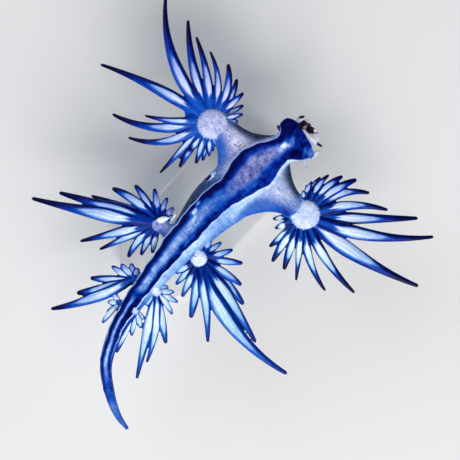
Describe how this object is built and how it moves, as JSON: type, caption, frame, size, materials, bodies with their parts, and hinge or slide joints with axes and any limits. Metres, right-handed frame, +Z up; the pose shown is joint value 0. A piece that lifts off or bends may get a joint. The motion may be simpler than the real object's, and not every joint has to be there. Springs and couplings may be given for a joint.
{
  "type": "sea slug model",
  "caption": "Life-size model of a blue sea dragon, a drifting sea slug, belly up on a low stand, with fans of pointed blue cerata round its arms.",
  "frame": {"origin": "centre of the underside of the stand's base, below the middle of the body", "axes": "+Z up, towards the upturned sole; the head points to -Y; +X is the animal's right"},
  "size_m": [0.0391, 0.0357, 0.012],
  "materials": {
    "blue_skin": "wet skin, navy with a silvery middle band, as painted cast resin in a museum model",
    "silver_blue_skin": "wet skin, silvery blue with navy tips, as painted cast resin in a museum model",
    "pale_lip": "wet pale skin",
    "brown_feeler": "wet brown skin",
    "opal_acrylic": "satin opal acrylic",
    "polished_steel": "fine satin steel rod"
  },
  "bodies": {
    "root": {"foot_front": "blue_skin", "torso_front": "blue_skin", "torso_middle": "blue_skin", "torso_rear": "blue_skin", "tail_base": "blue_skin", "tail_middle": "blue_skin", "tail_tip": "blue_skin", "head": "silver_blue_skin", "lips": "pale_lip", "oral_tentacle_right": "brown_feeler", "oral_tentacle_left": "brown_feeler", "rhinophore_right": "brown_feeler", "rhinophore_left": "brown_feeler", "arm_front_right": "silver_blue_skin", "arm_front_left": "silver_blue_skin", "arm_middle_right": "silver_blue_skin", "arm_middle_left": "silver_blue_skin", "cerata_front_right": "silver_blue_skin", "cerata_front_left": "silver_blue_skin", "cerata_middle_right": "silver_blue_skin", "cerata_middle_left": "silver_blue_skin", "cerata_rear_right": "silver_blue_skin", "cerata_rear_left": "silver_blue_skin", "cerata_hind_right": "silver_blue_skin", "cerata_hind_left": "silver_blue_skin", "anal_papilla": "silver_blue_skin", "stand_base": "opal_acrylic", "stand_rod_front": "polished_steel", "stand_rod_rear": "polished_steel"}
  },
  "joints": []
}
